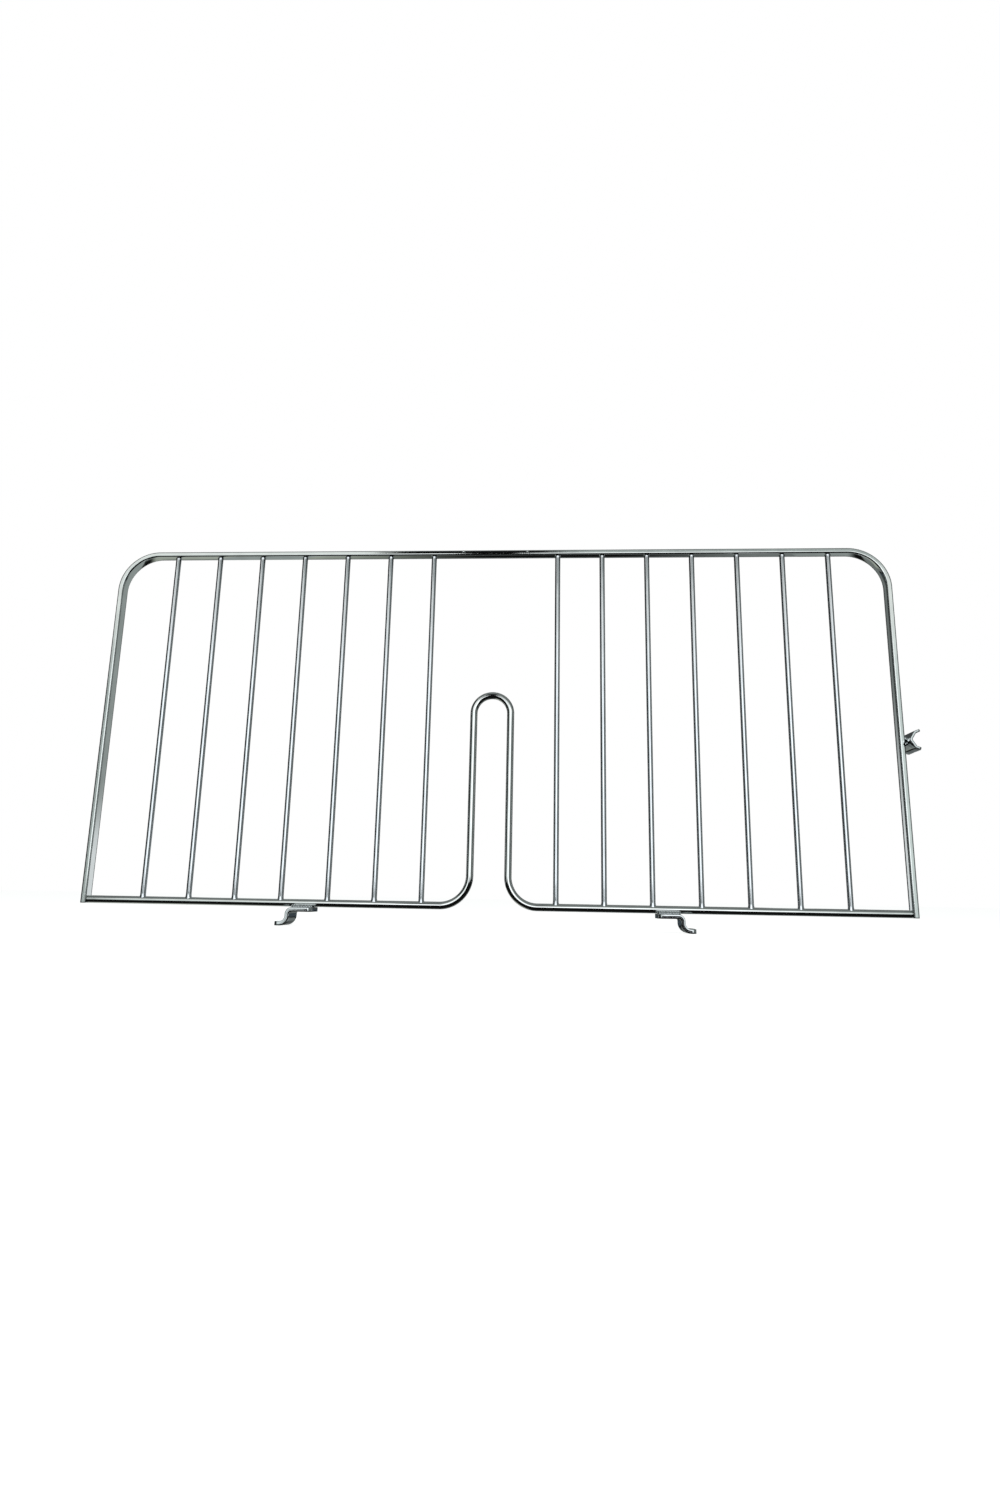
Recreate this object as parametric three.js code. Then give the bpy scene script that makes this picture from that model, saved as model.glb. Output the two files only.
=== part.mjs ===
// Shelf divider panel: a chromed wire panel that stands across a shop shelf and snaps to it.
// A flat-bar hoop is closed at the bottom by one round rod, which also bends up into a narrow
// slot in the middle. Fourteen upright wires fill the panel. Two bent hooks under the rod reach
// round the wires of the shelf, and a V-shaped spring clip on one leg snaps over another wire.
// Millimetres. X runs along the panel towards the snap clip, Y through it, Z up.
// Z = 0 is the underside of the hooks. X = 0 is the middle of the overall width, clip included,
// and Y = 0 is the panel's mid-plane.

import * as THREE from 'three';

// --- Driving dimensions ---------------------------------------------------------------------

const PANEL_WIDTH = 672;          // over the outsides of the hoop's two legs
const PANEL_HEIGHT = 301.5;       // rod centre to the centre of the hoop's top bar
const BAR_THICKNESS = 5;          // hoop's flat bar, seen edge-on from the front
const BAR_DEPTH = 10;             // the same bar, front to back
const BAR_EDGE = 1.2;             // eased edge of the flat bar
const HOOP_BEND = 33;             // centre-line radius of the hoop's two top corners

const ROD_DIAMETER = 6;           // bottom rod, which also forms the slot
const SLOT_WIDTH = 31;            // between the centre-lines of the slot's two sides
const SLOT_HEIGHT = 174;          // rod centre to the top of the arch's centre-line
const SLOT_FOOT_BEND = 24;        // where the rod turns up into the slot

const WIRE_DIAMETER = 4.5;        // upright infill wires
const WIRES_PER_SIDE = 7;
const WIRE_PITCH = 38.5;
const FIRST_WIRE = 54.3;          // innermost wires, from the slot's middle

const HOOK_STRIP = 3.5;           // thickness of the hooks' strip
const HOOK_DEPTH = 22;            // width of the same strip, front to back
const HOOK_FLANGE = 20;           // from the leg's middle to the end of the welded flange
const HOOK_TOE = 10.3;            // from the leg's middle to the tip of the toe
const HOOK_DROP = 14.5;           // overall height of a hook
const HOOK_TOP_BEND = 3.5;
const HOOK_TOE_BEND = 6;
const LEFT_HOOK = -160.5;         // middle of each hook's leg, from the slot's middle
const RIGHT_HOOK = 153.5;

const CLIP_STRIP = 2;
const CLIP_DEPTH = 26;
const CLIP_HEIGHT = 136.5;        // rod centre to the middle of the clip
const CLIP_MOUTH = 15.2;          // between the centre-lines of the two prongs' tips
const CLIP_REACH = 7.5;           // from the back of the V's centre-line to the prongs' tips
const CLIP_THROAT = 2.2;          // bend radius at the back of the V

const STRIP_EDGE = 0.5;           // eased edge of the hook and clip strips
const WELD_GAP = 0.3;             // left between pieces that are welded together
const BEND_STEPS = 6;             // facets in each quarter bend
const ROUND_SIDES = 16;

// --- Places that follow from them -------------------------------------------------------------

const rodZ = ROD_DIAMETER / 2 + WELD_GAP + HOOK_DROP;
const barZ = rodZ + PANEL_HEIGHT;
const legX = (PANEL_WIDTH - BAR_THICKNESS) / 2;
const clipBackX = PANEL_WIDTH / 2 + WELD_GAP + CLIP_STRIP / 2;

// --- Materials --------------------------------------------------------------------------------

const chrome = (colour, roughness) =>
  new THREE.MeshStandardMaterial({ color: colour, roughness, metalness: 1 });

const BAR_CHROME = chrome(0xc4c9cb, 0.12);
const ROD_CHROME = chrome(0xc9cdcf, 0.1);
const WIRE_CHROME = chrome(0xc6cacc, 0.11);
const STRIP_CHROME = chrome(0xbcc2c4, 0.16);

// --- Bent centre-lines ------------------------------------------------------------------------

// A path in the panel's plane through [x, z, bend radius] corners, with an arc at each bend.
function bentPath(corners) {
  const path = new THREE.Path();
  const points = corners.map(([x, z]) => new THREE.Vector2(x, z));
  path.moveTo(points[0].x, points[0].y);
  for (let i = 1; i < points.length - 1; i++) {
    const arriving = points[i].clone().sub(points[i - 1]).normalize();
    const leaving = points[i + 1].clone().sub(points[i]).normalize();
    const turn = Math.atan2(arriving.cross(leaving), arriving.dot(leaving));
    const radius = corners[i][2];
    const setback = radius * Math.tan(Math.abs(turn) / 2);
    const start = points[i].clone().addScaledVector(arriving, -setback);
    const side = Math.sign(turn);
    const inwards = new THREE.Vector2(-arriving.y, arriving.x).multiplyScalar(side);
    const centre = start.clone().addScaledVector(inwards, radius);
    const from = Math.atan2(start.y - centre.y, start.x - centre.x);
    path.lineTo(start.x, start.y);
    path.absarc(centre.x, centre.y, radius, from, from + turn, side < 0);
  }
  path.lineTo(points.at(-1).x, points.at(-1).y);
  return path;
}

// The path's points with the direction at each: the two ends of every straight run, and a few
// steps round each bend.
function stations(path) {
  const found = [];
  for (const curve of path.curves) {
    if (curve.getLength() < 1e-6) continue;
    const bend = curve.isEllipseCurve ? Math.abs(curve.aEndAngle - curve.aStartAngle) : 0;
    const steps = Math.max(1, Math.round((bend / (Math.PI / 2)) * BEND_STEPS));
    for (let i = found.length ? 1 : 0; i <= steps; i++) {
      found.push({ point: curve.getPoint(i / steps), along: curve.getTangent(i / steps) });
    }
  }
  return found;
}

// --- Solids made along them -------------------------------------------------------------------

// A flat strip bent on edge: the path thickened to both sides, then extruded front to back.
function bentStrip(path, thickness, depth, edge) {
  const left = [];
  const right = [];
  for (const { point, along } of stations(path)) {
    const across = new THREE.Vector2(-along.y, along.x).multiplyScalar(thickness / 2);
    left.push(point.clone().add(across));
    right.unshift(point.clone().sub(across));
  }
  const geometry = new THREE.ExtrudeGeometry(new THREE.Shape([...left, ...right]), {
    depth: depth - 2 * edge,
    bevelThickness: edge,
    bevelSize: edge,
    bevelOffset: -edge,
    bevelSegments: 1,
    steps: 1,
  });
  geometry.rotateX(Math.PI / 2);
  geometry.translate(0, depth / 2 - edge, 0);
  return geometry;
}

// The same stations as a curve, so that a straight run costs one step of the sweep.
class StationCurve extends THREE.Curve {
  constructor(path) {
    super();
    this.stations = stations(path);
  }

  get steps() {
    return this.stations.length - 1;
  }

  at(t) {
    return this.stations[Math.round(t * this.steps)];
  }

  getPoint(t, target = new THREE.Vector3()) {
    const { point } = this.at(t);
    return target.set(point.x, 0, point.y);
  }

  getPointAt(t, target) {
    return this.getPoint(t, target);
  }

  getTangentAt(t, target = new THREE.Vector3()) {
    const { along } = this.at(t);
    return target.set(along.x, 0, along.y);
  }
}

function bentRod(path, diameter) {
  const section = [];
  for (let i = 0; i < ROUND_SIDES; i++) {
    const angle = ((i + 0.5) / ROUND_SIDES) * 2 * Math.PI;
    section.push(new THREE.Vector2(Math.cos(angle), Math.sin(angle)).multiplyScalar(diameter / 2));
  }
  const curve = new StationCurve(path);
  return new THREE.ExtrudeGeometry(new THREE.Shape(section), { steps: curve.steps, extrudePath: curve });
}

// --- The sub-parts ----------------------------------------------------------------------------

const panel = new THREE.Group();

function add(name, geometry, material) {
  const mesh = new THREE.Mesh(geometry, material);
  mesh.name = name;
  panel.add(mesh);
  return mesh;
}

// Flat bar bent into an upside-down U; its legs end level with the underside of the rod.
function hoopFrame() {
  const footZ = rodZ - ROD_DIAMETER / 2;
  const path = bentPath([
    [-legX, footZ],
    [-legX, barZ, HOOP_BEND],
    [legX, barZ, HOOP_BEND],
    [legX, footZ],
  ]);
  add('hoop_frame', bentStrip(path, BAR_THICKNESS, BAR_DEPTH, BAR_EDGE), BAR_CHROME);
}

// One rod from leg to leg, bent up in the middle into a slot with a round top.
function bottomRod() {
  const endX = legX - BAR_THICKNESS / 2 - WELD_GAP;
  const sideX = SLOT_WIDTH / 2;
  const path = bentPath([
    [-endX, rodZ],
    [-sideX, rodZ, SLOT_FOOT_BEND],
    [-sideX, rodZ + SLOT_HEIGHT, sideX],
    [sideX, rodZ + SLOT_HEIGHT, sideX],
    [sideX, rodZ, SLOT_FOOT_BEND],
    [endX, rodZ],
  ]);
  add('bottom_rod', bentRod(path, ROD_DIAMETER), ROD_CHROME);
}

// Straight wires from the top of the rod to the underside of the hoop's top bar.
function infillWires() {
  const footZ = rodZ + ROD_DIAMETER / 2 + WELD_GAP;
  const headZ = barZ - BAR_THICKNESS / 2 - WELD_GAP;
  for (const [side, sign] of [['left', -1], ['right', 1]]) {
    for (let i = 0; i < WIRES_PER_SIDE; i++) {
      const wire = new THREE.CylinderGeometry(
        WIRE_DIAMETER / 2, WIRE_DIAMETER / 2, headZ - footZ, ROUND_SIDES);
      const mesh = add(`infill_wire_${side}_${i + 1}`, wire, WIRE_CHROME);
      mesh.rotation.x = Math.PI / 2;
      mesh.position.set(sign * (FIRST_WIRE + i * WIRE_PITCH), 0, (footZ + headZ) / 2);
    }
  }
}

// A strip with a flange welded under the rod, a short leg, and a toe that turns outwards.
function hook(name, x, outwards) {
  const flangeZ = HOOK_DROP - HOOK_STRIP / 2;
  const toeZ = HOOK_STRIP / 2;
  const path = bentPath([
    [x - outwards * HOOK_FLANGE, flangeZ],
    [x, flangeZ, HOOK_TOP_BEND],
    [x, toeZ, HOOK_TOE_BEND],
    [x + outwards * HOOK_TOE, toeZ],
  ]);
  add(name, bentStrip(path, HOOK_STRIP, HOOK_DEPTH, STRIP_EDGE), STRIP_CHROME);
}

// A V-shaped spring strip, back against the hoop's leg, whose prongs snap over a wire.
function snapClip() {
  const z = rodZ + CLIP_HEIGHT;
  const tipX = clipBackX + CLIP_REACH;
  const kneeX = clipBackX + CLIP_REACH * 0.45;
  const kneeZ = CLIP_MOUTH * 0.4;
  const halfTurn = Math.PI / 2 - Math.atan2(kneeZ, kneeX - clipBackX);
  const cornerX = clipBackX - CLIP_THROAT * (1 / Math.cos(halfTurn) - 1);
  const path = bentPath([
    [tipX, z + CLIP_MOUTH / 2],
    [kneeX, z + kneeZ, CLIP_THROAT],
    [cornerX, z, CLIP_THROAT],
    [kneeX, z - kneeZ, CLIP_THROAT],
    [tipX, z - CLIP_MOUTH / 2],
  ]);
  add('snap_clip', bentStrip(path, CLIP_STRIP, CLIP_DEPTH, STRIP_EDGE), STRIP_CHROME);
}

hoopFrame();
bottomRod();
infillWires();
hook('left_hook', LEFT_HOOK, -1);
hook('right_hook', RIGHT_HOOK, 1);
snapClip();
panel.position.x = -new THREE.Box3().setFromObject(panel).getCenter(new THREE.Vector3()).x;

export default panel;
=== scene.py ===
"""Shelf divider panel: the fine surfaces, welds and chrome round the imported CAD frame.

Metres, in the row frame: X along the panel towards the snap clip, Y away from the camera, Z up.
"""

import math
import random

import bpy
from mathutils import Matrix, Vector, noise

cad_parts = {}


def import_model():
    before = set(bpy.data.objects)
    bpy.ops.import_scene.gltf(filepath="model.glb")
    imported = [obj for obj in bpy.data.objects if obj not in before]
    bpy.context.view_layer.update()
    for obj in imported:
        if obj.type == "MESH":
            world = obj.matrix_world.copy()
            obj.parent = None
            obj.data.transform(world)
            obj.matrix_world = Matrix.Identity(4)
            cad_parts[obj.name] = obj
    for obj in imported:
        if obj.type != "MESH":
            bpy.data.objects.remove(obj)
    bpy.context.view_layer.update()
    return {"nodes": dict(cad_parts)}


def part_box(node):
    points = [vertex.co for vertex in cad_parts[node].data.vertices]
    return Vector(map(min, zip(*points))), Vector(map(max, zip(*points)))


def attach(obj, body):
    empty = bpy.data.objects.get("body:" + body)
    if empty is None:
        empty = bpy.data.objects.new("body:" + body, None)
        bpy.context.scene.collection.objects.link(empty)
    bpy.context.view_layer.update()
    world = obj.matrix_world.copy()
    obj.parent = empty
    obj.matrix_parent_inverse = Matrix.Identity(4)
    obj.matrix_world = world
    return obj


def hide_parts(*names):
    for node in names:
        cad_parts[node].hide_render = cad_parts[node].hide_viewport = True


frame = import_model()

MM = 0.001


# --- Sizes --------------------------------------------------------------------------------------

# Bends and sections that a box doesn't tell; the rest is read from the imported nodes.
HOOP_BEND = 33 * MM
BAR_THICKNESS = 5 * MM
SLOT_WIDTH = 31 * MM
SLOT_FOOT_BEND = 24 * MM
HOOK_STRIP = 3.5 * MM
HOOK_TOP_BEND = 3.5 * MM
HOOK_TOE_BEND = 6 * MM
HOOK_TOE = 10.3 * MM
HOOK_FLANGE = 20 * MM
CLIP_STRIP = 2 * MM
CLIP_REACH = 7.5 * MM
CLIP_THROAT = 2.2 * MM
CLIP_MOUTH = 15.2 * MM
CLIP_KNEE = (0.45, 0.4)           # where a prong turns out: shares of its reach and the mouth
WELD_GAP = 0.3 * MM

# Fine shapes that only this model has.
BAR_EDGE = 1.3 * MM               # rounded edges of the hoop's bar
BAR_CROWN = 0.4 * MM              # how far its broad faces bow
BAR_CUT = 0.3 * MM                # easing of its sawn ends
HOOK_EDGE, HOOK_CUT = 0.6 * MM, 0.5 * MM
HOOK_CORNERS = (5 * MM, 3 * MM)   # plan radius at the flange's end and at the toe
CLIP_EDGE, CLIP_CUT = 0.5 * MM, 0.4 * MM
CLIP_CORNERS = (1.5 * MM, 1.5 * MM)
HAIR_GAP = 0.05 * MM              # keeps butted pieces just apart or just together
NIB_PLACE = 28 * MM               # from the middle of the panel

hoop_lo, hoop_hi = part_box("hoop_frame")
rod_lo, rod_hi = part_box("bottom_rod")
clip_lo, clip_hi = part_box("snap_clip")

mid_x = (hoop_lo.x + hoop_hi.x) / 2
leg_x = (hoop_hi.x - hoop_lo.x - BAR_THICKNESS) / 2
bar_z = hoop_hi.z - BAR_THICKNESS / 2
bar_depth = hoop_hi.y - hoop_lo.y
rod_radius = 3 * MM
rod_z = hoop_lo.z + rod_radius
arch_z = rod_hi.z - rod_radius


# --- Meshes swept along a bent centre-line ------------------------------------------------------

class Station:
    """A point of a centre-line in the panel's plane, its direction and its distance along."""

    def __init__(self, x, z, tx, tz, s):
        self.x, self.z, self.tx, self.tz, self.s = x, z, tx, tz, s


def bent_path(corners, step, bend_step=math.radians(3)):
    """Stations along (x, z, bend radius) corners, every step or bend_step radians."""
    points = [Vector((c[0], c[1])) for c in corners]
    pieces = []
    start = points[0]
    for i in range(1, len(points) - 1):
        arriving = (points[i] - points[i - 1]).normalized()
        leaving = (points[i + 1] - points[i]).normalized()
        cross = arriving.x * leaving.y - arriving.y * leaving.x
        turn = math.atan2(cross, arriving.dot(leaving))
        radius = corners[i][2]
        setback = radius * math.tan(abs(turn) / 2)
        bend_start = points[i] - arriving * setback
        side = math.copysign(1, turn)
        centre = bend_start + Vector((-arriving.y, arriving.x)) * side * radius
        pieces.append(("line", start, bend_start, arriving))
        pieces.append(("arc", centre, radius, arriving, turn, side))
        start = points[i] + leaving * setback
    last = (points[-1] - points[-2]).normalized()
    pieces.append(("line", start, points[-1], last))

    found = []
    s = 0.0
    for piece in pieces:
        if piece[0] == "line":
            _, a, b, d = piece
            length = (b - a).length
            if length < 1e-7:
                continue
            n = max(1, round(length / step))
            for k in range(0 if not found else 1, n + 1):
                p = a.lerp(b, k / n)
                found.append(Station(p.x, p.y, d.x, d.y, s + length * k / n))
            s += length
        else:
            _, centre, radius, d, turn, side = piece
            n = max(2, round(abs(turn) / bend_step))
            for k in range(0 if not found else 1, n + 1):
                angle = turn * k / n
                c, w = math.cos(angle), math.sin(angle)
                t = Vector((d.x * c - d.y * w, d.x * w + d.y * c))
                p = centre + Vector((t.y, -t.x)) * side * radius
                found.append(Station(p.x, p.y, t.x, t.y, s + abs(angle) * radius))
            s += abs(turn) * radius
    return found


def round_section(radius, sides):
    """(across, y) points of a round bar."""
    return [(radius * math.cos(2 * math.pi * k / sides), radius * math.sin(2 * math.pi * k / sides))
            for k in range(sides)]


def strip_section(thickness, depth, edge, crown=0.0, steps=4, face_steps=4):
    """(across, y) points of a flat bar with rounded edges; crown bows its two broad faces."""
    half_t, half_d = thickness / 2, depth / 2
    corners = [(half_t - edge, half_d - edge, 0), (-half_t + edge, half_d - edge, 90),
               (-half_t + edge, -half_d + edge, 180), (half_t - edge, -half_d + edge, 270)]
    points = []
    for i, (ca, cy, start) in enumerate(corners):
        for k in range(steps + 1):
            angle = math.radians(start + 90 * k / steps)
            points.append((ca + edge * math.cos(angle), cy + edge * math.sin(angle)))
        here = Vector(points[-1])
        next_a, next_y, next_start = corners[(i + 1) % 4]
        angle = math.radians(next_start)
        there = Vector((next_a + edge * math.cos(angle), next_y + edge * math.sin(angle)))
        for k in range(1, face_steps):
            points.append(tuple(here.lerp(there, k / face_steps)))
    return [(a * (1 - crown / half_t * (y / half_d) ** 2), y) for a, y in points]


def finish_mesh(name, verts, faces, uvs, slot, replaces=(), sharp=40):
    """Makes the object of a closed mesh, smooth but for edges sharper than sharp degrees."""
    mesh = bpy.data.meshes.new(name)
    mesh.from_pydata(verts, [], faces)
    mesh.validate()
    layer = mesh.uv_layers.new(name="Along")
    for polygon in mesh.polygons:
        for loop, vertex in zip(polygon.loop_indices, polygon.vertices):
            layer.data[loop].uv = uvs[vertex]
    mesh.shade_smooth()
    mesh.set_sharp_from_angle(angle=math.radians(sharp))
    piece = bpy.data.objects.new(name, mesh)
    bpy.context.scene.collection.objects.link(piece)
    piece.data.materials.append(MATERIALS[slot])
    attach(piece, "root")
    if replaces:
        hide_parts(*replaces)
    return piece


def rings_to_faces(n_rings, n_sides):
    """Quads between rings and a cap at each end. They face outwards where a ring runs
    anticlockwise seen from the last ring."""
    faces = []
    for i in range(n_rings - 1):
        here, beyond = i * n_sides, (i + 1) * n_sides
        for j in range(n_sides):
            k = (j + 1) % n_sides
            faces.append((here + j, here + k, beyond + k, beyond + j))
    faces.append(tuple(reversed(range(n_sides))))
    faces.append(tuple((n_rings - 1) * n_sides + j for j in range(n_sides)))
    return faces


def ease_ends(stations, eased):
    """The stations with extra ones near both ends, so that the eased rim stays narrow."""
    length = stations[-1].s
    first, last = stations[0], stations[-1]
    steps = (0, eased * 0.3, eased, eased * 2.5)
    head = [Station(first.x + first.tx * d, first.z + first.tz * d, first.tx, first.tz, d)
            for d in steps]
    tail = [Station(last.x - last.tx * d, last.z - last.tz * d, last.tx, last.tz, length - d)
            for d in reversed(steps)]
    return head + [st for st in stations if steps[-1] < st.s < length - steps[-1]] + tail


def sweep(name, stations, section, slot, replaces=(), shape=None, eased=0.0):
    """Sweeps a section along the stations. shape(s, length, across, y) may return a changed
    (across, y); eased rounds the two cut ends off by that much."""
    length = stations[-1].s
    line = ease_ends(stations, eased) if eased else stations
    verts, uvs = [], []
    for st in line:
        end = min(st.s, length - st.s)
        draw_in = 0.0
        if eased and end < eased:
            draw_in = eased - math.sqrt(max(0.0, eased ** 2 - (eased - end) ** 2))
        around = 0.0
        for j, (a, y) in enumerate(section):
            if shape:
                a, y = shape(st.s, length, a, y)
            if draw_in:
                reach = math.hypot(a, y)
                a, y = a * (1 - draw_in / reach), y * (1 - draw_in / reach)
            verts.append((st.x - st.tz * a, y, st.z + st.tx * a))
            if j:
                around += math.dist(section[j - 1], section[j])
            uvs.append((st.s, around))
    faces = rings_to_faces(len(line), len(section))
    # Seen from the far end of the path, the section runs clockwise.
    return finish_mesh(name, verts, [tuple(reversed(f)) for f in faces], uvs, slot, replaces)


# --- Chrome -------------------------------------------------------------------------------------

def chrome(name, colour, roughness, draw=0.12, pits=0.0, wave=0.04, seed=0.0):
    """Bright plate over drawn steel: faint lines along the piece, slow waves that bend the
    reflections, fine pits and a little change of roughness and tone from place to place."""
    material = bpy.data.materials.new(name)
    material.use_nodes = True
    tree = material.node_tree
    link = tree.links.new
    shader = tree.nodes["Principled BSDF"]
    shader.inputs["Metallic"].default_value = 1.0

    def node(kind, **inputs):
        made = tree.nodes.new("ShaderNode" + kind)
        for socket, value in inputs.items():
            made.inputs[socket.replace("_", " ")].default_value = value
        return made

    def bump(height, strength, distance, below=None):
        made = node("Bump", Strength=strength, Distance=distance)
        link(height, made.inputs["Height"])
        if below:
            link(below, made.inputs["Normal"])
        return made.outputs["Normal"]

    place = node("TexCoord").outputs["Object"]
    along = node("UVMap")
    along.uv_map = "Along"

    lines = node("Mapping", Scale=(12, 4200, 1), Location=(seed, seed, 0))
    link(along.outputs["UV"], lines.inputs["Vector"])
    drawn = node("TexNoise", Scale=1.0, Detail=3.0)
    link(lines.outputs["Vector"], drawn.inputs["Vector"])
    slow = node("TexNoise", Scale=70.0, Detail=1.5)
    link(place, slow.inputs["Vector"])
    fine = node("TexNoise", Scale=900.0, Detail=4.0)
    link(place, fine.inputs["Vector"])

    tone = node("ValToRGB")
    for stop, position, shade in zip(tone.color_ramp.elements, (0.35, 0.65), (0.93, 1.03)):
        stop.position = position
        stop.color = (*[min(1, c * shade) for c in colour], 1)
    link(slow.outputs["Fac"], tone.inputs["Fac"])
    link(tone.outputs["Color"], shader.inputs["Base Color"])

    gloss = node("MapRange", From_Min=0.3, From_Max=0.7,
                 To_Min=roughness * 0.7, To_Max=roughness * 1.4)
    link(fine.outputs["Fac"], gloss.inputs["Value"])
    link(gloss.outputs["Result"], shader.inputs["Roughness"])

    surface = bump(slow.outputs["Fac"], wave, MM)
    surface = bump(drawn.outputs["Fac"], draw, 0.02 * MM, surface)
    if pits:
        cells = node("TexVoronoi", Scale=650.0)
        link(place, cells.inputs["Vector"])
        depth = node("MapRange", From_Min=0.0, From_Max=0.35)
        link(cells.outputs["Distance"], depth.inputs["Value"])
        surface = bump(depth.outputs["Result"], pits, 0.1 * MM, surface)
    link(surface, shader.inputs["Normal"])
    return material


BAR_TONE, ROD_TONE = (0.73, 0.76, 0.75), (0.76, 0.78, 0.77)
WIRE_TONE, STRIP_TONE = (0.74, 0.77, 0.80), (0.70, 0.73, 0.74)

MATERIALS = {
    "flat_bar": chrome("chrome_flat_bar", BAR_TONE, 0.05, draw=0.2, pits=0.1, seed=3.1),
    "rod": chrome("chrome_rod", ROD_TONE, 0.06, draw=0.18, seed=5.7),
    "wire": chrome("chrome_wire", WIRE_TONE, 0.06, draw=0.12, wave=0.05, seed=9.3),
    "hook_strip": chrome("chrome_hook_strip", STRIP_TONE, 0.09, draw=0.12, pits=0.08),
    "clip_strip": chrome("chrome_clip_strip", STRIP_TONE, 0.09, draw=0.12, pits=0.06, seed=7.9),
}


# --- Hoop and bottom rod ------------------------------------------------------------------------

def hoop():
    """One flat bar bent on edge into an upside-down U."""
    foot = hoop_lo.z
    path = bent_path([
        (mid_x - leg_x, foot),
        (mid_x - leg_x, bar_z, HOOP_BEND),
        (mid_x + leg_x, bar_z, HOOP_BEND),
        (mid_x + leg_x, foot),
    ], 6 * MM)
    section = strip_section(BAR_THICKNESS, bar_depth, BAR_EDGE, BAR_CROWN, steps=8, face_steps=6)
    sweep("hoop_bar", path, section, "flat_bar", ["hoop_frame"], eased=BAR_CUT)


def bottom_rod():
    """One round rod from leg to leg, bent up in the middle into the slot."""
    end = leg_x - BAR_THICKNESS / 2 - HAIR_GAP
    side = SLOT_WIDTH / 2
    path = bent_path([
        (mid_x - end, rod_z),
        (mid_x - side, rod_z, SLOT_FOOT_BEND),
        (mid_x - side, arch_z, side),
        (mid_x + side, arch_z, side),
        (mid_x + side, rod_z, SLOT_FOOT_BEND),
        (mid_x + end, rod_z),
    ], 5 * MM)
    sweep("slotted_rod", path, round_section(rod_radius, 32), "rod", ["bottom_rod"])


# --- Upright wires ------------------------------------------------------------------------------

WIRE_SIDES = 24
FOOT_UPSET, HEAD_UPSET = 2.4 * MM, 1.9 * MM      # how far the weld upsets reach along the wire
UPSET_RISES = (0, 0.25 * MM, 0.6 * MM, 1.0 * MM, 1.5 * MM, 2.2 * MM, 3.0 * MM)
PLAIN_STEPS = 16


def infill_wire(node, seed):
    """A drawn wire, swelling into a small weld upset at each end: saddled on the rod below, flat
    under the bar above."""
    lo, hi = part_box(node)
    x = (lo.x + hi.x) / 2
    radius = (hi.x - lo.x) / 2
    foot = rod_z + rod_radius
    head = bar_z - BAR_THICKNESS / 2 + HAIR_GAP
    draw = random.Random(seed)
    foot_flare = draw.uniform(0.25, 0.55) * MM
    head_flare = draw.uniform(0.2, 0.5) * MM
    lean = draw.uniform(-1, 1)
    heights = [foot + rise for rise in UPSET_RISES]
    heights += [foot + (head - foot) * k / PLAIN_STEPS for k in range(1, PLAIN_STEPS)]
    heights += [head - rise for rise in reversed(UPSET_RISES)]
    verts, uvs = [], []
    for z in heights:
        near_foot = max(0, 1 - (z - foot) / FOOT_UPSET)
        near_head = max(0, 1 - (head - z) / HEAD_UPSET)
        swell = foot_flare * near_foot ** 2.2 + head_flare * near_head ** 2.2
        for k in range(WIRE_SIDES):
            angle = 2 * math.pi * k / WIRE_SIDES
            c, s = math.cos(angle), math.sin(angle)
            # The upset spreads along the rod or bar and stays within its width.
            r = radius + swell * (0.35 + 0.65 * c * c) * (1 + 0.25 * lean * c)
            px, py = r * c, r * s
            # The foot follows the rod's round top and sinks in a little.
            reach = min(abs(py), rod_radius - 2 * HAIR_GAP)
            sag = rod_radius - math.sqrt(rod_radius ** 2 - reach ** 2)
            verts.append((x + px, py, z - (sag + 3 * HAIR_GAP) * near_foot))
            uvs.append((z + seed, radius * angle))
    faces = rings_to_faces(len(heights), WIRE_SIDES)
    finish_mesh(node + "_drawn", verts, faces, uvs, "wire", [node])


# --- Hooks and clip -----------------------------------------------------------------------------

FADE = 8 * MM                     # the rounding of a strip's corners fades towards its middle


def plan_rounding(radius_start, radius_end):
    """A sweep shape that rounds a strip's corners, seen on its wide face, at its two ends."""
    def shape(s, length, a, y):
        for radius, distance in ((radius_start, s), (radius_end, length - s)):
            if radius and distance < radius:
                pull = radius - math.sqrt(max(0.0, radius ** 2 - (radius - distance) ** 2))
                y = math.copysign(max(0.0, abs(y) - pull * min(1, abs(y) / FADE)), y)
        return a, y
    return shape


def hook(node, name, outwards):
    """A strip with a flange under the rod, a short leg and a toe that turns outwards."""
    lo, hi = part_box(node)
    depth = hi.y - lo.y
    toe_tip = lo.x if outwards < 0 else hi.x
    x = toe_tip - outwards * HOOK_TOE
    flange_z = hi.z - HOOK_STRIP / 2
    toe_z = lo.z + HOOK_STRIP / 2
    path = bent_path([
        (x - outwards * HOOK_FLANGE, flange_z),
        (x, flange_z, HOOK_TOP_BEND),
        (x, toe_z, HOOK_TOE_BEND),
        (x + outwards * HOOK_TOE, toe_z),
    ], 0.8 * MM, math.radians(6))
    section = strip_section(HOOK_STRIP, depth, HOOK_EDGE)
    sweep(name, path, section, "hook_strip", [node],
          shape=plan_rounding(*HOOK_CORNERS), eased=HOOK_CUT)


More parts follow.
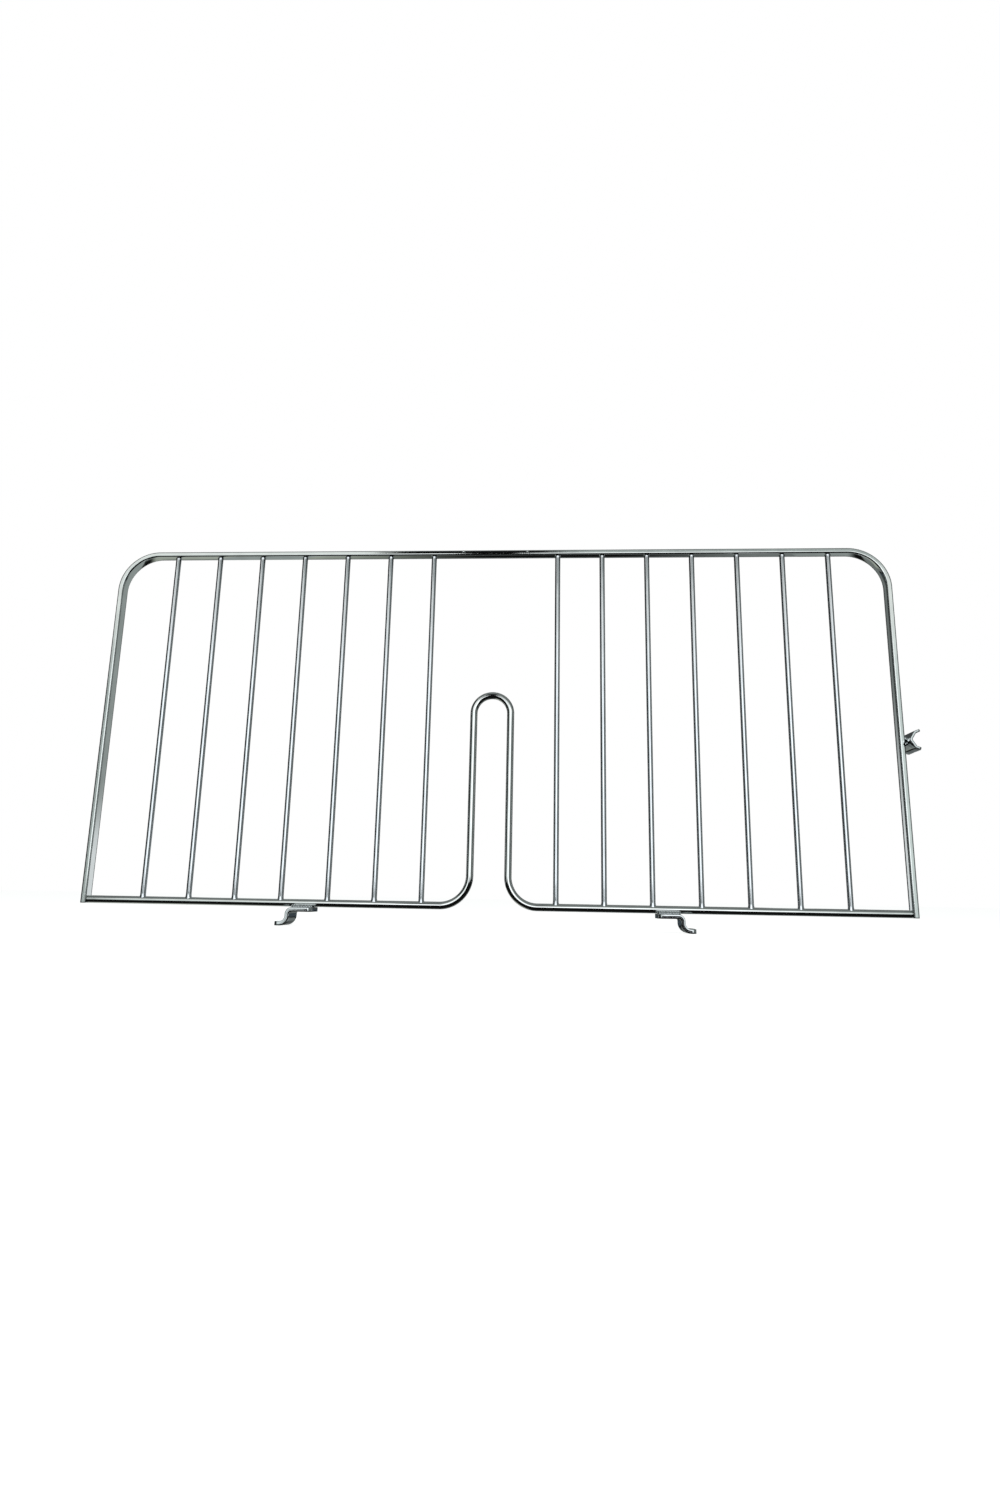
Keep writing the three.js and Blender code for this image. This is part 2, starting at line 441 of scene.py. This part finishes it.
def clip():
    """A spring strip bent into a V, its back against the outer face of the leg."""
    z = (clip_lo.z + clip_hi.z) / 2
    back_x = hoop_hi.x + WELD_GAP + CLIP_STRIP / 2
    tip_x = back_x + CLIP_REACH
    knee_x = back_x + CLIP_REACH * CLIP_KNEE[0]
    knee_z = CLIP_MOUTH * CLIP_KNEE[1]
    half_turn = math.pi / 2 - math.atan2(knee_z, knee_x - back_x)
    corner_x = back_x - CLIP_THROAT * (1 / math.cos(half_turn) - 1)
    path = bent_path([
        (tip_x, z + CLIP_MOUTH / 2),
        (knee_x, z + knee_z, CLIP_THROAT),
        (corner_x, z, CLIP_THROAT),
        (knee_x, z - knee_z, CLIP_THROAT),
        (tip_x, z - CLIP_MOUTH / 2),
    ], 0.6 * MM, math.radians(6))
    section = strip_section(CLIP_STRIP, clip_hi.y - clip_lo.y, CLIP_EDGE)
    sweep("clip_spring", path, section, "clip_strip", ["snap_clip"],
          shape=plan_rounding(*CLIP_CORNERS), eased=CLIP_CUT)


# --- Weld metal ---------------------------------------------------------------------------------

BEAD_SIDES = 14
BEAD_STEP = 0.22 * MM


def bead(name, start, end, radius, slot, pitch=2.2 * MM, seed=0, relief=0.3):
    """A hand-laid weld bead from start to end: overlapping scallops, tapering at both ends."""
    start, end = Vector(start), Vector(end)
    axis = (end - start).normalized()
    side = axis.cross(Vector((0, 0, 1)))
    if side.length < 0.1:
        side = axis.cross(Vector((0, 1, 0)))
    side.normalize()
    up = side.cross(axis).normalized()
    length = (end - start).length
    draw = random.Random(seed)
    phase = draw.random()
    rings = max(12, round(length / BEAD_STEP))
    verts, uvs = [], []
    for i in range(rings + 1):
        s = i / rings * length
        ripple = abs(math.sin(math.pi * (s / pitch + phase)))
        past_end = max(0.0, 1 - min(s, length - s) / radius)
        taper = min(1.0, math.sqrt(max(0.0, 1 - past_end ** 2)) + 0.05)
        wobble = noise.noise(Vector((s / (3 * MM), seed * 3.7, 0)))
        r = radius * taper * (1 - relief + relief * ripple + 0.12 * wobble)
        centre = start + axis * s + up * (0.1 * radius * wobble)
        for k in range(BEAD_SIDES):
            angle = 2 * math.pi * k / BEAD_SIDES
            p = centre + side * (r * math.cos(angle)) + up * (r * math.sin(angle))
            verts.append(tuple(p))
            uvs.append((s, r * angle))
    finish_mesh(name, verts, rings_to_faces(rings + 1, BEAD_SIDES), uvs, slot, sharp=80)


HOOK_BEAD = 1.6 * MM
HOOK_BEAD_RUN = (18.5 * MM, 0.5 * MM)            # its ends, from the middle of the hook's leg
HOOK_BEAD_SIDE, HOOK_BEAD_RISE = 2.7 * MM, 0.55 * MM
ROD_BEAD = rod_radius * 1.22
ROD_BEAD_OUT, ROD_BEAD_IN = 1.3 * MM, 0.6 * MM   # along the rod, and into the leg
CLIP_BEAD = 1.7 * MM
CLIP_BEAD_RISE, CLIP_BEAD_HALF, CLIP_BEAD_OUT = 2.4 * MM, 3.6 * MM, 0.5 * MM
NIB = 1.3 * MM
NIB_HALF, NIB_SINK, NIB_RISE = 1.5 * MM, 0.15 * MM, 0.6 * MM


def welds():
    """Beads that join the hooks' flanges, the rod's ends and the clip to what they stand on."""
    for node, outwards in (("left_hook", -1), ("right_hook", 1)):
        lo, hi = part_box(node)
        toe_tip = lo.x if outwards < 0 else hi.x
        leg = toe_tip - outwards * HOOK_TOE
        first, last = sorted(leg - outwards * run for run in HOOK_BEAD_RUN)
        z = hi.z + HOOK_BEAD_RISE
        for face, y in (("front", -HOOK_BEAD_SIDE), ("back", HOOK_BEAD_SIDE)):
            bead(f"{node}_weld_{face}", (first, y, z), (last, y, z), HOOK_BEAD, "hook_strip",
                 seed=11 + (outwards > 0) * 7 + (y > 0) * 3, relief=0.5)
    for side, sign in (("left", -1), ("right", 1)):
        face_x = mid_x + sign * (leg_x - BAR_THICKNESS / 2)
        bead(f"rod_end_weld_{side}", (face_x - sign * ROD_BEAD_OUT, 0, rod_z),
             (face_x + sign * ROD_BEAD_IN, 0, rod_z), ROD_BEAD, "rod", seed=31 + sign, pitch=6 * MM)
    x = hoop_hi.x + CLIP_BEAD_OUT
    for place, rise in (("upper", CLIP_BEAD_RISE), ("lower", -CLIP_BEAD_RISE)):
        z = (clip_lo.z + clip_hi.z) / 2 + rise
        bead(f"clip_weld_{place}", (x, -CLIP_BEAD_HALF, z), (x, CLIP_BEAD_HALF, z),
             CLIP_BEAD, "clip_strip", seed=41)


def nib(name, x, seed):
    """A small lump of plate on the front edge of the top bar."""
    y, z = hoop_lo.y + NIB_SINK, bar_z + NIB_RISE
    bead(name, (x - NIB_HALF, y, z), (x + NIB_HALF, y, z), NIB, "flat_bar", seed=seed, relief=0.15)


hoop()
bottom_rod()
for i, node in enumerate(sorted(n for n in frame["nodes"] if n.startswith("infill_wire"))):
    infill_wire(node, i + 1)
hook("left_hook", "left_hook_strip", -1)
hook("right_hook", "right_hook_strip", 1)
clip()
welds()
nib("top_bar_nib_left", mid_x - NIB_PLACE, 51)
nib("top_bar_nib_right", mid_x + NIB_PLACE, 53)


# --- Camera -------------------------------------------------------------------------------------

camera = bpy.data.objects.new("camera", bpy.data.cameras.new("camera"))
bpy.context.scene.collection.objects.link(camera)
bpy.context.scene.camera = camera
camera.location = (0.0519, -0.6930, 0.0263)
pitch, yaw, roll = math.radians(12.245), math.radians(3.481), math.radians(-1.026)
turn = Matrix.Rotation(yaw, 4, "Z") @ Matrix.Rotation(pitch, 4, "X") @ Matrix.Rotation(roll, 4, "Y")
# A camera looks along -Z by itself; a quarter turn makes that +Y.
camera.rotation_euler = (turn @ Matrix.Rotation(math.radians(90), 4, "X")).to_euler()
camera.data.sensor_width = 36
camera.data.lens = 20.25
camera.data.shift_x = -0.0062
camera.data.shift_y = -0.0248
camera.data.clip_start = 0.01
camera.data.clip_end = 50


# --- Studio -------------------------------------------------------------------------------------

class Shades:
    """Colour nodes that lay one tone over another by position."""

    def __init__(self, tree):
        self.nodes, self.link = tree.nodes, tree.links.new
        self.nodes.clear()

    def axes(self, output):
        place = self.nodes.new("ShaderNodeTexCoord")
        split = self.nodes.new("ShaderNodeSeparateXYZ")
        self.link(place.outputs[output], split.inputs["Vector"])
        return [split.outputs[axis] for axis in "XYZ"]

    def ramp(self, value, low, high):
        """0 at low, 1 at high, eased between; low may be the larger."""
        step = self.nodes.new("ShaderNodeMapRange")
        step.interpolation_type = "SMOOTHSTEP"
        step.inputs["From Min"].default_value = low
        step.inputs["From Max"].default_value = high
        self.link(value, step.inputs["Value"])
        return step.outputs["Result"]

    def band(self, value, low, high, soft):
        """1 between low and high, 0 outside."""
        return self.times(self.ramp(value, low - soft, low + soft),
                          self.ramp(value, high + soft, high - soft))

    def times(self, *factors):
        product = factors[0]
        for factor in factors[1:]:
            node = self.nodes.new("ShaderNodeMath")
            node.operation = "MULTIPLY"
            self.link(product, node.inputs[0])
            self.link(factor, node.inputs[1])
            product = node.outputs[0]
        return product

    def over(self, base, tone, amount):
        mix = self.nodes.new("ShaderNodeMix")
        mix.data_type = "RGBA"
        self.link(amount, mix.inputs["Factor"])
        if isinstance(base, tuple):
            mix.inputs["A"].default_value = (*base, 1)
        else:
            self.link(base, mix.inputs["A"])
        mix.inputs["B"].default_value = (*tone, 1)
        return mix.outputs["Result"]


def grey(level, tint=(0.91, 1.0, 0.98)):
    return tuple(level * t for t in tint)


def flat_square(name, corners):
    mesh = bpy.data.meshes.new(name)
    mesh.from_pydata(corners, [], [(0, 1, 2, 3)])
    thing = bpy.data.objects.new(name, mesh)
    bpy.context.scene.collection.objects.link(thing)
    material = bpy.data.materials.new(name)
    material.use_nodes = True
    mesh.materials.append(material)
    return thing, material.node_tree


def glowing_card(name, left, right, y, low, high, paint):
    """An upright card of light that only the chrome sees; paint(shades, x, z) gives its tone."""
    card, tree = flat_square(name, [
        (left, y, low), (right, y, low), (right, y, high), (left, y, high)])
    shades = Shades(tree)
    x, _, z = shades.axes("Object")
    glow = tree.nodes.new("ShaderNodeEmission")
    shades.link(paint(shades, x, z), glow.inputs["Color"])
    out = tree.nodes.new("ShaderNodeOutputMaterial")
    shades.link(glow.outputs[0], out.inputs["Surface"])
    card.visible_camera = False
    card.visible_shadow = False


DARK = (0.004, 0.004, 0.004)


def front_wall(shades, x, z):
    """Diffused light behind the camera, brightest in the middle, with a dark figure before it."""
    ramp, band, times, over = shades.ramp, shades.band, shades.times, shades.over
    tone = over(grey(0.04), grey(0.8), band(x, -1.14, 1.1, 0.1))
    tone = over(tone, (1.72, 1.78, 1.82), band(x, -0.55, 0.65, 0.3))
    tone = over(tone, (0.95, 0.98, 0.96), ramp(z, 0.5, 0.8))
    # The top bar's front picks up what is above 0.8: grey to the right, dark in the middle.
    tone = over(tone, grey(0.5), times(ramp(z, 0.84, 0.9), ramp(x, -0.1, 0.1)))
    tone = over(tone, DARK, times(ramp(z, 0.81, 0.85), band(x, -0.42, 0.06, 0.06)))
    # The figure itself, and a dark low edge that the rod picks up.
    tone = over(tone, DARK, band(x, -0.2, -0.04, 0.03))
    return over(tone, DARK, times(ramp(z, 0.08, 0.0), band(x, -0.6, 0.45, 0.06)))


def leg_light(dim, top):
    """Light for a leg's inner face: dim above the height top, bright near the floor."""
    def paint(shades, x, z):
        return shades.over(grey(dim), grey(0.88, (0.95, 0.98, 1.0)), shades.ramp(z, top, 0.05))
    return paint


def floor():
    """A plain pale floor."""
    half = 6.0
    pale, tree = flat_square("floor", [
        (-half, -half, 0), (half, -half, 0), (half, half, 0), (-half, half, 0)])
    shader = tree.nodes["Principled BSDF"]
    shader.inputs["Base Color"].default_value = (0.9, 0.9, 0.9, 1)
    shader.inputs["Roughness"].default_value = 0.9
    shader.inputs["Specular IOR Level"].default_value = 0.0
    shader.inputs["Emission Color"].default_value = (1, 1, 1, 1)
    shader.inputs["Emission Strength"].default_value = 0.85
    pale.visible_glossy = False
    pale.visible_shadow = False


def world():
    """White to the camera. To the chrome it is a studio with dim walls, a grey ceiling, a dark
    floor in front and a grey one behind."""
    sky = bpy.data.worlds.new("studio")
    bpy.context.scene.world = sky
    sky.use_nodes = True
    tree = sky.node_tree
    shades = Shades(tree)
    x, y, z = shades.axes("Generated")
    ramp, times, over = shades.ramp, shades.times, shades.over

    # The sides, what is behind the panel with its slate foot, the ceiling and the floor.
    back = ramp(y, 0.6, 0.8)
    tone = over(grey(0.03), grey(0.17), ramp(x, 0.2, 0.6))
    tone = over(tone, grey(0.07), back)
    tone = over(tone, (0.05, 0.065, 0.075), times(back, ramp(z, 0.01, -0.01)))
    tone = over(tone, grey(0.22), ramp(z, 0.62, 0.75))
    tone = over(tone, (0.006, 0.006, 0.006), ramp(z, -0.07, -0.12))

    # The floor behind the panel: a strip far away, olive to the left, grey to the right.
    far = ramp(y, 0.45, 0.65)
    behind = times(far, ramp(z, -0.22, -0.33))
    tone = over(tone, grey(0.17), times(far, ramp(z, -0.12, -0.18), ramp(z, -0.34, -0.26)))
    tone = over(tone, grey(0.42, (0.93, 1.0, 0.88)), times(behind, ramp(x, -0.08, -0.32)))
    tone = over(tone, grey(0.34), times(behind, ramp(x, 0.06, 0.32)))

    # The floor almost straight below.
    below = ramp(z, -0.6, -0.85)
    tone = over(tone, grey(0.28), times(ramp(y, 0.35, 0.55), below))
    tone = over(tone, grey(0.5, (0.95, 1.0, 0.92)),
                times(ramp(y, 0.1, 0.3), ramp(z, -0.5, -0.75), ramp(x, -0.22, -0.4)))

    surroundings = tree.nodes.new("ShaderNodeBackground")
    shades.link(tone, surroundings.inputs["Color"])
    backdrop = tree.nodes.new("ShaderNodeBackground")
    backdrop.inputs["Color"].default_value = (1, 1, 1, 1)
    path = tree.nodes.new("ShaderNodeLightPath")
    seen = tree.nodes.new("ShaderNodeMixShader")
    shades.link(path.outputs["Is Camera Ray"], seen.inputs["Fac"])
    shades.link(surroundings.outputs[0], seen.inputs[1])
    shades.link(backdrop.outputs[0], seen.inputs[2])
    out = tree.nodes.new("ShaderNodeOutputWorld")
    shades.link(seen.outputs[0], out.inputs["Surface"])


glowing_card("front_wall", -1.35, 1.45, -1.4, -0.1, 1.4, front_wall)
glowing_card("left_leg_card", -0.3, -0.21, 0.12, -0.02, 0.36, leg_light(0.36, 0.14))
glowing_card("right_leg_card", 0.25, 0.288, 0.12, -0.02, 0.36, leg_light(0.2, 0.26))
floor()
world()
bpy.context.scene.view_settings.view_transform = "Standard"
